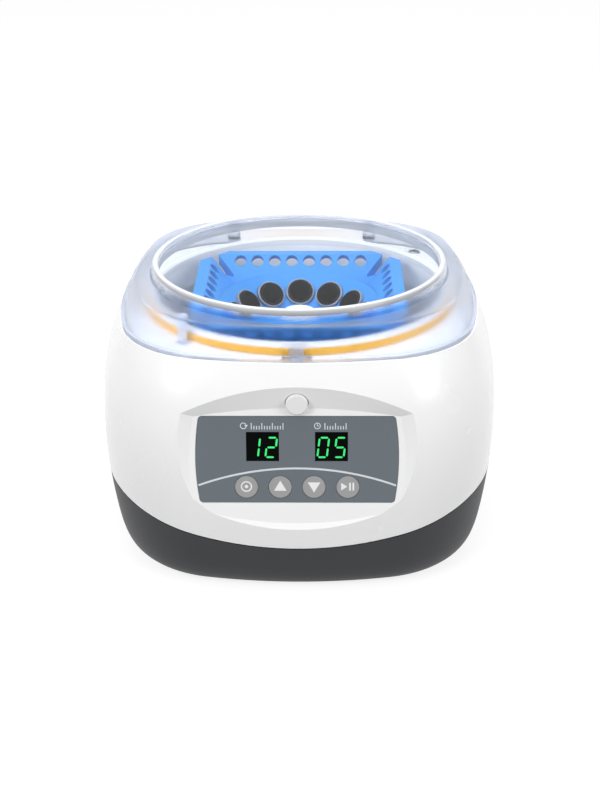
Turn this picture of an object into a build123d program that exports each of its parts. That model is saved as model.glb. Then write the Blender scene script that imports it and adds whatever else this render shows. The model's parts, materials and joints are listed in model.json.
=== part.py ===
from build123d import *
from math import cos, hypot, radians, sin, sqrt
import os

# Bench microcentrifuge with a hinged clear lid and a combination rotor.
# Frame: millimetres, +Z up, X to the right of someone facing the keys, -Y the front.
# The origin is on the table, midway across and midway deep, on the spin axis.

# Housing
body_sections = [
    # height, half width, half depth, shift of the centre to the back
    (3.0, 86.5, 87.0, 0.0),
    (9.0, 90.5, 91.0, 0.0),
    (25.0, 94.5, 94.0, 0.0),
    (46.0, 97.2, 95.7, 0.0),
    (68.0, 98.0, 96.0, 0.0),
    (90.0, 96.2, 93.9, 0.8),
    (105.0, 92.4, 90.3, 2.0),
    (115.0, 88.2, 87.0, 3.0),
]
deck_height = body_sections[-1][0]
corner_share = 0.60
corner_radius_share = 0.56
wall = 2.8
floor_wall = 3.0
deck_wall = 3.0
parting_low = 25.0
parting_rise = 227.0
parting_gap = 0.5
lip_height = 3.5
lip_wall = 1.5
lip_clearance = 0.25

# Feet and housing screws
foot_stand = 3.0
foot_radius = 8.0
foot_seat = 1.2
foot_x = 66.0
foot_y = 48.0
foot_taper = 5.0
foot_round = 0.8
screw_reach = 62.0
screw_radius = 1.75
screw_head_radius = 3.3
screw_head_height = 2.2
screw_recess = 0.4
screw_boss_radius = 4.6
screw_bite = 9.0
screw_clearance = 0.3
foot_clearance = 0.2
drive_radius = 1.1
drive_depth = 1.0
screw_tip_width = 0.4
screw_tip_length = 0.8
head_round = 0.8
boss_joint = 38.0
housing_screw_length = 38.0
base_slot_count = 7
base_slot_pitch = 7.0
base_slot_length = 46.0
base_slot_width = 2.6

# Chamber
chamber_radius = 72.0
rim_overhang = 2.5
rim_radius = chamber_radius + rim_overhang
rim_stand = 5.3
rim_height = deck_height + rim_stand
rim_lip = 1.8
bowl_wall = 1.8
bowl_waist_step = 2.2
bowl_waist_drop = 9.0
bowl_waist_height = deck_height - bowl_waist_drop
bowl_depth = 53.0
bowl_floor_height = deck_height - bowl_depth
bowl_floor_radius = 52.0
bowl_collar_radius = 13.0
bowl_collar_height = 5.0
gasket_overhang = 0.7
gasket_radius = rim_radius + gasket_overhang
gasket_lap = 0.3
gasket_round = 0.5
chamber_clearance = 1.0
rim_inset = 1.4
rim_foot = 2.0
rim_round = 0.6
bowl_draft = 1.0
bowl_corner_rise = 18.0

# Lid
lid_seat_gap = 0.3
lid_wall = 2.6
flange_lip = 2.4
flange_width = 1.2
flange_half_width = 87.2
flange_half_depth = 84.0
shoulder_rise = 15.0
shoulder_height = deck_height + shoulder_rise
shoulder_half_width = 79.5
shoulder_half_depth = 77.4
shoulder_shift = 2.4
ridge_rise = 6.0
ridge_height = shoulder_height + ridge_rise
ridge_radius = chamber_radius
ridge_flare = 1.6
ridge_foot_radius = ridge_radius + ridge_flare
ridge_width = 3.0
lid_waist_rise = 8.5
lid_waist_height = deck_height + lid_waist_rise
lid_waist_half_width = 84.0
lid_waist_half_depth = 81.0
lug_root = 79.0
hook_seat_rise = 5.0
hook_seat = deck_height + hook_seat_rise
interlock_head = 4.0
window_drop = 1.4
lid_round = 1.6
ridge_crown = 1.2
ridge_root = 0.6
hook_pad_width = 2.0
hook_pad_depth = 1.2
hook_pad_roof = 1.6
interlock_flare = 0.7

# Hinge
hinge_y = 88.6
hinge_rise = 0.6
hinge_z = deck_height + hinge_rise
pin_radius = 1.5
pin_clearance = 0.05
pin_overhang = 0.5
tower_half_width = 33.5
tower_front = 82.4
tower_rise = 9.6
tower_top = deck_height + tower_rise
tower_drop = 17.0
tower_foot = deck_height - tower_drop
barrel_radius = 5.4
lug_radius = 5.0
lug_width = 6.0
lug_gap = 0.6
lug_pocket_gap = 0.8
notch_gap = 1.5
tower_chamfer = 3.0
tower_rake = 4.0
lug_rise = 0.6
pin_chamfer = 0.3

# Latch
hook_y = -79.1
hook_thickness = 2.2
hook_half_width = 3.3
barb_reach = 2.0
barb_land = 0.8
latch_clearance = 0.5
latch_bite = 1.2
latch_plate = 2.4
latch_slot_half_width = 6.7
latch_travel = 2.4
button_radius = 5.1
button_clearance = 0.3
button_drop = 18.6
button_height = deck_height - button_drop
hook_tip_rise = 5.2
hook_tip = button_height + hook_tip_rise
barb_length = 3.6
barb_top = hook_tip + barb_length
button_front = -88.0
slider_half_width = 7.0
skirt_gap = 0.2
button_round = 0.9
stem_radius = 2.0
spring_radius = 3.3
spring_wire = 0.7
spring_turns = 5
spring_clearance = 0.1
spring_clearance_side = 0.3
latch_backlash = 0.4
web_thickness = 1.8
web_low = 5.0
ledge_chamfer_width = 0.8
ledge_chamfer_height = 1.4
stem_socket_clearance = 0.3
button_roof = 1.6
bracket_thickness = 1.8
bracket_rise = 1.0
bracket_drop = 9.0
bracket_margin = 4.0
bracket_corner = 2.0
bracket_screw_x = 12.0
bracket_screw_drop = 3.0
bracket_boss_radius = 3.0
bracket_boss_length = 3.4
slot_clearance = 0.7

# Front panel
scoop_tilt = 9.1
panel_y = -88.4
panel_drop = 27.2
panel_z = button_height - panel_drop
panel_half_width = 44.6
panel_side_bow = 1.8
panel_half_height = 20.7
panel_thickness = 0.8
window_x = 15.7
window_v = 6.2
window_width = 15.0
window_height = 14.0
window_clearance = 0.15
key_pitch = 15.5
key_v = -13.2
key_radius = 5.25
key_stand = 0.3
key_travel = 0.4
key_clearance = 0.2
key_thickness = 1.4
key_stem_radius = 1.7
board_depth = 10.5
board_thickness = 1.6
board_corner = 1.5
display_sink = 0.3
switch_side = 6.0
switch_height = 4.3
switch_tip = 1.0
window_relief = 0.3
key_stem_clearance = 0.4
key_stem_gap = 0.05
key_bevel = 0.15
key_floor = 0.2
panel_round = 2.0
display_board_width = 84.0
display_board_height = 37.0
display_post_x = 38.0
display_post_v = 15.0
board_post_radius = 2.6
board_screw_radius = 1.0
board_screw_head_radius = 1.9
board_screw_head_height = 1.2
board_screw_length = 4.8
board_screw_depth = 6.0
board_hole_clearance = 0.2
bracket_hole_clearance = 0.3
bracket_screw_depth = 3.2

# Lid interlock and deck screw
interlock_x = -52.8
interlock_y = -59.0
interlock_radius = 2.0
interlock_drop = 7.5
interlock_tip = deck_height - interlock_drop
interlock_clearance = 0.9
switch_top_drop = 4.0
switch_top = interlock_tip - switch_top_drop
deck_screw_x = 61.0
deck_screw_y = 66.0
deck_screw_ring = 5.6
deck_screw_radius = 1.7
deck_screw_head_radius = 3.4
deck_screw_head_height = 1.2
deck_screw_length = 7.0
deck_recess = 1.4
lid_switch_width = 5.8
lid_switch_length = 12.8
lid_switch_height = 6.5
lid_switch_tip_radius = 1.2
lid_switch_gap = 0.4
lid_switch_post_radius = 1.5
lid_switch_post_reach = 4.6

# Rotor
rotor_slope_height = 73.0
rotor_rim_drop = 0.7
rotor_rim_height = rim_height - rotor_rim_drop
plate_half_outer = 52.0
plate_corner_cut = 89.5
strip_pitch = 9.0
strip_count = 8
strip_reach = 44.0
strip_hole_radius = 3.2
tube_count = 12
tube_reach = 31.0
tube_bore_radius = 5.55
sleeve_radius = 6.4
sleeve_length = 37.0
sleeve_tip_radius = 3.4
sleeve_taper = 6.0
sleeve_floor = 1.5
sleeve_rim = 0.6
sleeve_fit = 0.05
collar_radius = 7.2
collar_thickness = 2.0
collar_clearance = 0.3
well_cut = 40.0
collar_cut = 8.0
strip_cut = 12.0
ring_inner = 21.0
ring_outer = 39.5
ring_low_inner = 87.0
ring_low_outer = 95.0
plate_inner = 36.0
plate_tail = 8.0
corner_block = 30.0
rotor_hub_radius = 13.0
rotor_hub_low = 78.0
rotor_hub_high = 96.0
notch_floor = 110.0
notch_width = 5.0
notch_length = 24.0
nut_radius = 9.0
nut_top = 106.5
nut_bevel = 1.5
grip_count = 12
grip_radius = 1.1
grip_offset = 0.5
grip_rise = 2.0

# Drive
shaft_radius = 3.0
shaft_top = 104.0
shaft_bottom = 14.2
adapter_low = 72.0
adapter_foot_radius = 7.5
adapter_flange_radius = 11.5
adapter_radius = 6.0
bearing_clearance = 0.03
bearing_radius = 8.0
bearing_width = 5.0
motor_radius = 27.0
motor_wall = 1.6
motor_low = 12.0
motor_high = 54.0
motor_screw_circle = 18.0
motor_screw_radius = 1.25
motor_screw_head_radius = 2.6
motor_screw_head_height = 1.6
armature_radius = 21.0
armature_low = 22.0
armature_high = 45.0
motor_plate_half = 47.0
motor_plate_thickness = 2.5
post_reach = 38.0
post_radius = 6.0
damper_radius = 7.0
damper_height = 11.0
damper_screw_radius = 1.5
damper_screw_head_radius = 3.0
damper_screw_head_height = 1.8
plate_corner = 9.0
plate_opening = 1.5
damper_waist = 2.4
damper_waist_depth = 1.6
damper_screw_reach = 7.0
motor_screw_reach = 3.0
motor_round = 2.0
motor_eye = 2.0
bearing_wall = 3.0
magnet_thickness = 3.0
magnet_overhang = 1.5
magnet_gap = 3.5
winding_slots = 9
winding_slot_length = 8.0
winding_slot_width = 2.4
winding_slot_opening = 0.5
adapter_bevel = 1.0
adapter_flange_height = 2.0

# Boards on the base
main_board_height = 14.0
main_board_width = 98.0
main_board_depth = 28.0
main_board_y = 62.0
pillar_x = 44.0
pillar_near = 52.0
pillar_far = 72.0
chip_height = 2.6
chips = [
    # centre x, centre y, width, depth
    (-26.0, -62.0, 14.0, 10.0),
    (-6.0, -62.0, 14.0, 10.0),
    (12.0, -56.0, 9.0, 5.0),
    (30.0, -62.0, 16.0, 12.0),
]
transformer_x = 8.0
transformer_core = 28.0
transformer_depth = 20.0
transformer_winding = 20.0
transformer_winding_depth = 16.0
transformer_layers = (5.0, 5.0, 2.5)
capacitor_places = [(-14.0, 56.0), (-14.0, 68.0), (-28.0, 62.0)]
capacitor_radius = 5.0
capacitor_height = 13.0

# Back of the housing
back_recess_half_width = 43.0
back_recess_low = 37.0
back_recess_high = 61.0
back_recess_y = 92.0
inlet_x = -20.0
inlet_z = 49.0
inlet_width = 27.4
inlet_height = 19.6
inlet_depth = 21.0
inlet_flange = 2.2
inlet_socket_depth = 16.0
back_fit = 0.3
switch_width = 13.0
switch_height_outer = 19.0
rocker_x = 22.0
rocker_tilt = 8.0
rocker_sink = 1.6
rocker_pin_radius = 1.0
vent_count = 6
vent_pitch = 5.2
vent_low = 66.0
vent_half_length = 30.0
vent_height = 2.4
recess_corner = 3.0
inlet_ear_x = 2.0
inlet_ear_z = 1.5
inlet_wall = 1.3
inlet_key_corner = 4.0
inlet_pin_x = 7.0
inlet_pin_drop = 4.0
inlet_pin_lift = 1.0
inlet_pin_width = 2.0
inlet_pin_height = 4.0
inlet_pin_short = 3.0
switch_wall = 1.2
switch_depth = 14.0
switch_well = 10.0
rocker_side_gap = 0.25
rocker_end_gap = 0.5
rocker_pin_gap = 0.3
rocker_root_half = 4.0
rocker_root_depth = 3.2
rocker_lift = 1.3
rocker_dish = 0.1

# Length of a cut that only has to run clear of the piece
clear_cut = 20.0

os.makedirs("parts", exist_ok=True)


def save(piece, name):
    piece.label = name
    export_step(piece, f"parts/{name}.step")


def squircle(half_x, half_y, shift):
    """Closed outline of four long side arcs and four tangent corner arcs."""
    mean = (half_x + half_y) / 2
    inset = corner_share * mean
    corner = corner_radius_share * mean
    near_x = half_x - inset
    near_y = half_y - inset
    side_x = (inset**2 + near_y**2 - corner**2) / (2 * (inset - corner))
    side_y = (inset**2 + near_x**2 - corner**2) / (2 * (inset - corner))
    right_x = half_x - side_x
    top_y = half_y - side_y
    reach_right = hypot(near_x - right_x, near_y)
    reach_top = hypot(near_x, near_y - top_y)
    right = (
        right_x + side_x * (near_x - right_x) / reach_right,
        side_x * near_y / reach_right,
    )
    top = (
        side_y * near_x / reach_top,
        top_y + side_y * (near_y - top_y) / reach_top,
    )
    middle = (near_x + corner * cos(radians(45)), near_y + corner * sin(radians(45)))

    def at(point, sign_x, sign_y):
        return (sign_x * point[0], shift + sign_y * point[1])

    ThreePointArc(at(right, 1, -1), (half_x, shift), at(right, 1, 1))
    ThreePointArc(at(right, 1, 1), at(middle, 1, 1), at(top, 1, 1))
    ThreePointArc(at(top, 1, 1), (0, shift + half_y), at(top, -1, 1))
    ThreePointArc(at(top, -1, 1), at(middle, -1, 1), at(right, -1, 1))
    ThreePointArc(at(right, -1, 1), (-half_x, shift), at(right, -1, -1))
    ThreePointArc(at(right, -1, -1), at(middle, -1, -1), at(top, -1, -1))
    ThreePointArc(at(top, -1, -1), (0, shift - half_y), at(top, 1, -1))
    ThreePointArc(at(top, 1, -1), at(middle, 1, -1), at(right, 1, -1))


def squircle_face(height, half_x, half_y, shift):
    with BuildSketch(Plane.XY.offset(height)) as outline:
        with BuildLine():
            squircle(half_x, half_y, shift)
        make_face()
    return outline.sketch


def housing_form(inset):
    """Solid barrel through the housing sections, each side moved in by the inset."""
    faces = []
    for height, half_x, half_y, shift in body_sections:
        faces.append(squircle_face(height, half_x - inset, half_y - inset, shift))
    with BuildPart() as form:
        loft(faces)
    return form.part


def parting_height(x):
    return parting_low + parting_rise - sqrt(parting_rise**2 - x**2)


# Side of the blocks that keep or cut whole layers
slab_side = 240.0


def below_parting(lift):
    """Everything under the smile-shaped parting line, raised by the lift."""
    reach = slab_side / 2
    edge = parting_height(reach) + lift
    with BuildPart() as block:
        with BuildSketch(Plane.XZ):
            with BuildLine():
                Polyline((-reach, edge), (-reach, -clear_cut), (reach, -clear_cut), (reach, edge))
                ThreePointArc((reach, edge), (0, parting_low + lift), (-reach, edge))
            make_face()
        extrude(amount=reach, both=True)
    return block.part


def slab(low, high):
    """A wide flat block between two heights, to keep or to cut a layer."""
    with BuildPart() as block:
        with BuildSketch(Plane.XY.offset(low)):
            Rectangle(slab_side, slab_side)
        extrude(amount=high - low)
    return block.part


housing_outer = housing_form(0)
housing_inner = housing_form(wall)

# Front scoop: a flat floor for the key panel with walls that spread to the surface
panel_plane = Plane(
    origin=(0, panel_y, panel_z),
    x_dir=(1, 0, 0),
    z_dir=(0, -cos(radians(scoop_tilt)), sin(radians(scoop_tilt))),
)
scoop_floor = {"half": 47.0, "bow": 2.4, "top": 20.5, "crown": 24.5, "low": -24.0, "chin": -31.0}
scoop_mouth = {"half": 80.0, "bow": 4.0, "top": 33.0, "crown": 53.0, "low": -48.0, "chin": -62.0}
scoop_reach = 14.0


def scoop_outline(size, depth, grow):
    """Lens outline with a bowed top, chin and sides, grown outwards on every side."""
    half = size["half"] + grow
    top = size["top"] + grow
    low = size["low"] - grow
    with BuildSketch(panel_plane.offset(depth)) as outline:
        with BuildLine():
            ThreePointArc((-half, top), (0, size["crown"] + grow), (half, top))
            ThreePointArc((half, top), (half + size["bow"], (top + low) / 2), (half, low))
            ThreePointArc((half, low), (0, size["chin"] - grow), (-half, low))
            ThreePointArc((-half, low), (-half - size["bow"], (top + low) / 2), (-half, top))
        make_face()
    return outline.sketch


def scoop_form(grow):
    with BuildPart() as form:
        loft([
            scoop_outline(scoop_floor, -grow, grow),
            scoop_outline(scoop_mouth, scoop_reach - grow, grow),
        ])
    return form.part


def panel_outline(grow):
    half = panel_half_width + grow
    top = panel_half_height + grow
    with BuildSketch(panel_plane) as outline:
        with BuildLine():
            Line((-half, top), (half, top))
            ThreePointArc((half, top), (half + panel_side_bow, 0), (half, -top))
            Line((half, -top), (-half, -top))
            ThreePointArc((-half, -top), (-half - panel_side_bow, 0), (-half, top))
        make_face()
        fillet(outline.vertices(), panel_round)
    return outline.sketch


key_places = [((i - 1.5) * key_pitch, key_v) for i in range(4)]
window_places = [(-window_x, window_v), (window_x, window_v)]
display_posts = [(sx * display_post_x, sv * display_post_v) for sx in (-1, 1) for sv in (-1, 1)]
board_face = -board_depth

# Latch stations worked out from the hook and its clearances
stem_front = hook_y - hook_thickness / 2
stem_back = hook_y + hook_thickness / 2
barb_back = stem_back + barb_reach
ledge_low = barb_top + latch_clearance
ledge_front = barb_back - latch_bite
web_front = barb_back + latch_backlash
web_back = web_front + web_thickness
bracket_front = stem_front
bracket_back = bracket_front + bracket_thickness
bracket_top = hook_tip - bracket_rise
bracket_low = button_height - bracket_drop
bracket_screw_z = button_height - bracket_screw_drop
bracket_screw_places = [(-bracket_screw_x, bracket_screw_z), (bracket_screw_x, bracket_screw_z)]
skirt_length = bracket_front - button_front - latch_travel - skirt_gap
slot_front = stem_front - slot_clearance
slot_back = barb_back + slot_clearance

# Lid stations
lid_foot = body_sections[-1][0] + lid_seat_gap
shoulder_under = shoulder_height - lid_wall
lug_in = tower_half_width + lug_gap
lug_out = lug_in + lug_width
pin_half_length = lug_out + pin_overhang
pocket_out = lug_out + lug_pocket_gap

# Stations of the drive and the base
damper_low = motor_high - damper_height
plate_top = motor_high + motor_plate_thickness
feet = [(sx * foot_x, sy * foot_y) for sx in (-1, 1) for sy in (-1, 1)]
base_top = foot_stand + floor_wall
board_pillars = [
    (sx * pillar_x, sy * y) for sx in (-1, 1) for sy in (-1, 1) for y in (pillar_near, pillar_far)
]


# Top shell
with BuildPart() as top_cavity:
    add(housing_inner)
    add(slab(deck_height - deck_wall, deck_height + clear_cut), mode=Mode.SUBTRACT)
    add(scoop_form(wall), mode=Mode.SUBTRACT)
    with BuildSketch(Plane.XZ.offset(-(back_recess_y - wall))):
        with Locations((0, (back_recess_low + back_recess_high) / 2)):
            Rectangle(
                2 * (back_recess_half_width + wall),
                back_recess_high - back_recess_low + 2 * wall,
            )
    extrude(amount=-clear_cut, mode=Mode.SUBTRACT)

with BuildPart() as top_shell:
    add(housing_outer)
    # Hinge tower: a block on the back edge, rounded about the hinge axis
    with BuildSketch(Plane.YZ.offset(-tower_half_width)) as tower_side:
        with BuildLine():
            Polyline(
                (tower_front, deck_height - deck_wall),
                (tower_front, tower_top - tower_chamfer),
                (tower_front + tower_chamfer, tower_top),
                (hinge_y, tower_top),
            )
            Line((hinge_y, tower_top), (hinge_y + barrel_radius, tower_top - barrel_radius))
            Polyline(
                (hinge_y + barrel_radius, tower_top - barrel_radius),
                (hinge_y + barrel_radius, tower_foot),
                (tower_front + tower_rake, tower_foot),
                (tower_front, deck_height - deck_wall),
            )
        make_face()
    extrude(amount=2 * tower_half_width)
    add(top_cavity.part, mode=Mode.SUBTRACT)
    add(below_parting(parting_gap), mode=Mode.SUBTRACT)
    # Screw bosses that meet those of the base
    with BuildSketch(Plane.XY.offset(boss_joint)):
        with GridLocations(2 * screw_reach, 2 * screw_reach, 2, 2):
            Circle(screw_boss_radius)
    extrude(amount=deck_height - deck_wall - boss_joint)
    with BuildSketch(Plane.XY.offset(boss_joint)):
        with GridLocations(2 * screw_reach, 2 * screw_reach, 2, 2):
            Circle(screw_radius)
    extrude(amount=screw_bite, mode=Mode.SUBTRACT)
    # Posts for the display board
    with BuildSketch(panel_plane.offset(board_face)):
        with Locations(*display_posts):
            Circle(board_post_radius)
    extrude(amount=board_depth - wall)
    with BuildSketch(panel_plane.offset(board_face)):
        with Locations(*display_posts):
            Circle(board_screw_radius)
    extrude(amount=board_screw_depth, mode=Mode.SUBTRACT)
    # Bosses for the latch bracket
    with BuildSketch(Plane.XZ.offset(-bracket_front)):
        with Locations(*bracket_screw_places):
            Circle(bracket_boss_radius)
    extrude(amount=bracket_boss_length)
    with BuildSketch(Plane.XZ.offset(-bracket_front)):
        with Locations(*bracket_screw_places):
            Circle(board_screw_radius)
    extrude(amount=bracket_screw_depth, mode=Mode.SUBTRACT)
    # Posts that hold the lid switch
    with BuildSketch(Plane.XY.offset(deck_height - deck_wall)):
        with Locations((interlock_x, interlock_y)):
            with GridLocations(0, 2 * lid_switch_post_reach, 1, 2):
                Circle(lid_switch_post_radius)
    extrude(amount=-(deck_height - deck_wall - switch_top))
    # Scoop, panel seat, windows and key holes
    add(scoop_form(0), mode=Mode.SUBTRACT)
    extrude(panel_outline(window_clearance), amount=-panel_thickness, mode=Mode.SUBTRACT)
    with BuildSketch(panel_plane):
        with Locations(*window_places):
            Rectangle(window_width + 2 * window_relief, window_height + 2 * window_relief)
    extrude(amount=-2 * wall, mode=Mode.SUBTRACT)
    with BuildSketch(panel_plane):
        with Locations(*key_places):
            Circle(key_radius + key_clearance)
    extrude(amount=-(key_thickness - key_stand + key_travel + key_floor), mode=Mode.SUBTRACT)
    with BuildSketch(panel_plane):
        with Locations(*key_places):
            Circle(key_stem_radius + key_stem_clearance)
    extrude(amount=-2 * wall, mode=Mode.SUBTRACT)
    # Hole for the release button
    with BuildSketch(Plane.XZ.offset(-stem_front)):
        with Locations((0, button_height)):
            Circle(button_radius + button_clearance)
    extrude(amount=clear_cut, mode=Mode.SUBTRACT)
    # Chamber opening, hook slot, lid pin hole and deck screw seat
    with BuildSketch(Plane.XY.offset(deck_height + deck_wall)):
        Circle(chamber_radius + chamber_clearance)
        with Locations((0, (slot_front + slot_back) / 2)):
            RectangleRounded(2 * latch_slot_half_width, slot_back - slot_front, 1.2)
        with Locations((interlock_x, interlock_y)):
            Circle(interlock_radius + interlock_clearance)
    extrude(amount=-3 * deck_wall, mode=Mode.SUBTRACT)
    with BuildSketch(Plane.XY.offset(deck_height)):
        with Locations((deck_screw_x, deck_screw_y)):
            Circle(deck_screw_ring)
    extrude(amount=-deck_recess, mode=Mode.SUBTRACT)
    with BuildSketch(Plane.XY.offset(deck_height)):
        with Locations((deck_screw_x, deck_screw_y)):
            Circle(deck_screw_radius)
    extrude(amount=-(deck_screw_length + 2), mode=Mode.SUBTRACT)
    # Hinge pin bore, and the pockets beside the tower that the lid's lugs turn in
    with BuildSketch(Plane.YZ.offset(-tower_half_width - 1)):
        with Locations((hinge_y, hinge_z)):
            Circle(pin_radius)
    extrude(amount=2 * tower_half_width + 2, mode=Mode.SUBTRACT)
    for side in (-1, 1):
        with BuildSketch(Plane.XZ.offset(-(tower_front - 0.2))):
            with Locations((side * (tower_half_width + pocket_out) / 2, hinge_z)):
                Rectangle(pocket_out - tower_half_width, 2 * (lug_radius + lug_pocket_gap))
        extrude(amount=-clear_cut, mode=Mode.SUBTRACT)
    # Back recess with the cut-outs for the inlet and the switch, and the air slots
    with BuildSketch(Plane.XZ.offset(-back_recess_y)):
        with Locations((0, (back_recess_low + back_recess_high) / 2)):
            RectangleRounded(
                2 * back_recess_half_width, back_recess_high - back_recess_low, recess_corner,
            )
    extrude(amount=-clear_cut, mode=Mode.SUBTRACT)
    with BuildSketch(Plane.XZ.offset(-(back_recess_y - 2 * wall))):
        with Locations((inlet_x, inlet_z)):
            Rectangle(inlet_width + 2 * back_fit, inlet_height + 2 * back_fit)
        with Locations((rocker_x, inlet_z)):
            Rectangle(switch_width + 2 * back_fit, switch_height_outer + 2 * back_fit)
    extrude(amount=-4 * wall, mode=Mode.SUBTRACT)
    with BuildSketch(Plane.XZ.offset(-(back_recess_y - 2 * wall))):
        with Locations((0, vent_low + vent_pitch * (vent_count - 1) / 2)):
            with GridLocations(0, vent_pitch, 1, vent_count):
                SlotOverall(2 * vent_half_length, vent_height)
    extrude(amount=-clear_cut, mode=Mode.SUBTRACT)
save(top_shell.part, "top_shell")


# Base shell
with BuildPart() as base_cavity:
    add(housing_inner)
    add(slab(-1, base_top), mode=Mode.SUBTRACT)

# Tongue that stands up behind the foot of the top shell
with BuildPart() as base_lip:
    add(housing_form(wall + lip_clearance))
    add(housing_form(wall + lip_clearance + lip_wall), mode=Mode.SUBTRACT)
    add(below_parting(lip_height), mode=Mode.INTERSECT)
    add(below_parting(-lip_height), mode=Mode.SUBTRACT)

# Web that joins the tongue to the wall below the parting line
with BuildPart() as base_lip_web:
    add(housing_form(wall / 2))
    add(housing_form(wall + lip_clearance + lip_wall), mode=Mode.SUBTRACT)
    add(below_parting(0), mode=Mode.INTERSECT)
    add(below_parting(-lip_height), mode=Mode.SUBTRACT)

with BuildPart() as base_shell:
    add(housing_outer)
    add(below_parting(0), mode=Mode.INTERSECT)
    add(base_cavity.part, mode=Mode.SUBTRACT)
    add(base_lip.part)
    add(base_lip_web.part)
    # Posts under the motor dampers
    with BuildSketch(Plane.XY.offset(base_top)):
        with GridLocations(2 * post_reach, 2 * post_reach, 2, 2):
            Circle(post_radius)
    extrude(amount=damper_low - base_top)
    with BuildSketch(Plane.XY.offset(damper_low)):
        with GridLocations(2 * post_reach, 2 * post_reach, 2, 2):
            Circle(damper_screw_radius)
    extrude(amount=-screw_bite, mode=Mode.SUBTRACT)
    # Screw bosses with counterbores from below
    with BuildSketch(Plane.XY.offset(base_top)):
        with GridLocations(2 * screw_reach, 2 * screw_reach, 2, 2):
            Circle(screw_boss_radius)
    extrude(amount=boss_joint - base_top)
    with BuildSketch(Plane.XY.offset(foot_stand)):
        with GridLocations(2 * screw_reach, 2 * screw_reach, 2, 2):
            Circle(screw_radius + screw_clearance)
    extrude(amount=boss_joint, mode=Mode.SUBTRACT)
    with BuildSketch(Plane.XY.offset(foot_stand)):
        with GridLocations(2 * screw_reach, 2 * screw_reach, 2, 2):
            Circle(screw_head_radius + screw_clearance)
    extrude(amount=screw_head_height, mode=Mode.SUBTRACT)
    # Seats for the feet
    with BuildSketch(Plane.XY.offset(foot_stand)):
        with Locations(*feet):
            Circle(foot_radius + foot_clearance)
    extrude(amount=foot_seat, mode=Mode.SUBTRACT)
    # Pillars under the two boards
    with BuildSketch(Plane.XY.offset(base_top)):
        with Locations(*board_pillars):
            Circle(board_post_radius)
    extrude(amount=main_board_height - base_top)
    # Air slots under the motor
    with BuildSketch(Plane.XY.offset(foot_stand - 1)):
        with GridLocations(0, base_slot_pitch, 1, base_slot_count):
            SlotOverall(base_slot_length, base_slot_width)
    extrude(amount=floor_wall + 2, mode=Mode.SUBTRACT)
save(base_shell.part, "base_shell")


# Feet and housing screws
with BuildPart() as rubber_feet:
    with BuildSketch(Plane.XY.offset(foot_stand + foot_seat)):
        with Locations(*feet):
            Circle(foot_radius)
    extrude(amount=-(foot_stand + foot_seat), taper=foot_taper)
    fillet(rubber_feet.edges().group_by(Axis.Z)[0], foot_round)
save(rubber_feet.part, "rubber_feet")


def screw(head_radius, head_height, shank_radius, shank_length):
    """A pan head screw along +Z whose head hangs below its seat at the origin."""
    with BuildPart() as piece:
        with BuildSketch(Plane.XZ):
            with BuildLine():
                Polyline(
                    (0, shank_length),
                    (shank_radius - screw_tip_width, shank_length),
                    (shank_radius, shank_length - screw_tip_length),
                    (shank_radius, 0),
                    (head_radius, 0),
                    (head_radius, -head_height + head_round),
                    (head_radius - head_round, -head_height),
                    (drive_radius, -head_height),
                    (drive_radius, -head_height + drive_depth),
                    (0, -head_height + drive_depth),
                    (0, shank_length),
                )
            make_face()
        revolve(axis=Axis.Z)
    return piece.part


housing_screw = screw(
    screw_head_radius, screw_head_height - screw_recess, screw_radius, housing_screw_length,
)
with BuildPart() as housing_screws:
    with Locations(Plane.XY.offset(foot_stand + screw_head_height)):
        with GridLocations(2 * screw_reach, 2 * screw_reach, 2, 2):
            add(housing_screw)
save(housing_screws.part, "housing_screws")


# Chamber bowl, hung by its rim, and the gasket between rim and deck
rim_low = rim_height - rim_lip
rim_inner = chamber_radius - rim_inset
bowl_waist_radius = rim_inner - bowl_waist_step
outer_floor = bowl_floor_height - bowl_wall
bowl_foot = bowl_waist_radius - bowl_draft
bend_top = outer_floor + bowl_corner_rise
with BuildPart() as chamber_bowl:
    with BuildSketch(Plane.XZ):
        with BuildLine():
            Polyline(
                (bowl_collar_radius - bowl_wall, outer_floor),
                (bowl_floor_radius, outer_floor),
            )
            TangentArc((bowl_floor_radius, outer_floor), (bowl_foot + bowl_wall, bend_top), tangent=(1, 0))
            Polyline(
                (bowl_foot + bowl_wall, bend_top),
                (bowl_waist_radius + bowl_wall, bowl_waist_height),
                (rim_inner + bowl_wall, rim_low - rim_foot),
                (rim_inner + bowl_wall, rim_low),
                (rim_radius, rim_low),
                (rim_radius, rim_height - rim_round),
                (rim_radius - rim_round, rim_height),
                (rim_inner + rim_round, rim_height),
                (rim_inner, rim_height - rim_round),
                (rim_inner, rim_low - rim_foot),
                (bowl_waist_radius, bowl_waist_height),
                (bowl_foot, bend_top),
            )
            TangentArc((bowl_floor_radius, bowl_floor_height), (bowl_foot, bend_top), tangent=(1, 0))
            Polyline(
                (bowl_floor_radius, bowl_floor_height),
                (bowl_collar_radius, bowl_floor_height),
                (bowl_collar_radius, bowl_floor_height + bowl_collar_height),
                (bowl_collar_radius - bowl_wall, bowl_floor_height + bowl_collar_height),
                (bowl_collar_radius - bowl_wall, outer_floor),
            )
        make_face()
    revolve(axis=Axis.Z)
save(chamber_bowl.part, "chamber_bowl")

with BuildPart() as chamber_gasket:
    with BuildSketch(Plane.XY.offset(deck_height)):
        Circle(gasket_radius)
        Circle(rim_inner + bowl_wall + gasket_lap, mode=Mode.SUBTRACT)
    extrude(amount=rim_low - deck_height)
    fillet(chamber_gasket.edges().filter_by(GeomType.CIRCLE).sort_by(SortBy.RADIUS)[-2:], gasket_round)
save(chamber_gasket.part, "chamber_gasket")


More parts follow.
